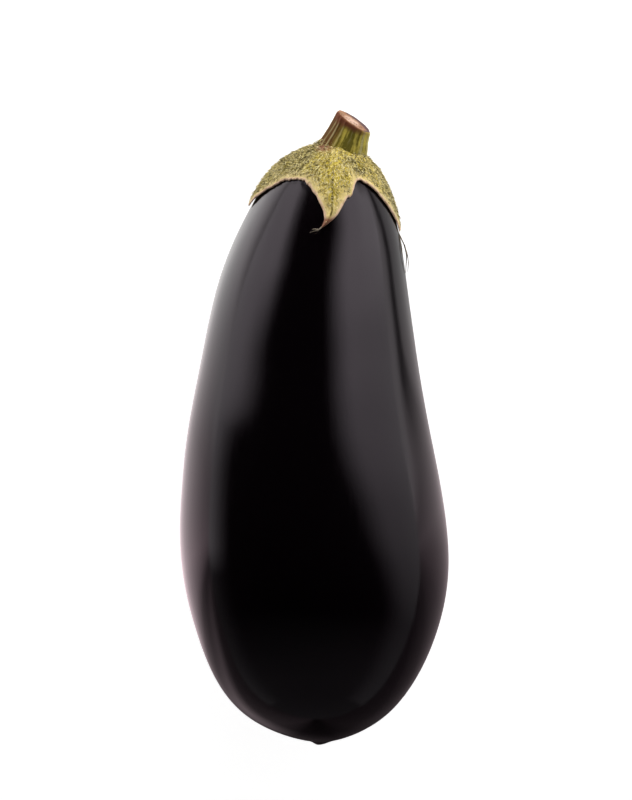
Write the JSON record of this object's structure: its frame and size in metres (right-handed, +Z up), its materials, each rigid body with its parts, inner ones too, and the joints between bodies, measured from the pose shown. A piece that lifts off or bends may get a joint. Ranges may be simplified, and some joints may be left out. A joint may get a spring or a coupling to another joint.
{
  "type": "eggplant",
  "caption": "Long globe eggplant lying on its belly, with a leathery pointed calyx capping the narrow end and a short cut stem.",
  "frame": {"origin": "on the surface that the eggplant lies on, under the middle of its outer box", "axes": "+Z up, away from the surface; +Y along the eggplant towards the stem, whose end dips by 7 degrees; +X to the side that the stem leans to"},
  "size_m": [0.094, 0.2208, 0.0904],
  "materials": {
    "skin": "waxy near-black purple eggplant skin, glossy",
    "calyx": "felted yellow-olive calyx with pale pink-tan edges, matt",
    "stem": "olive green and brown ribbed stem with a pale cut face, matt"
  },
  "bodies": {
    "root": {"fruit": "skin", "calyx": "calyx", "stem": "stem"}
  },
  "joints": []
}
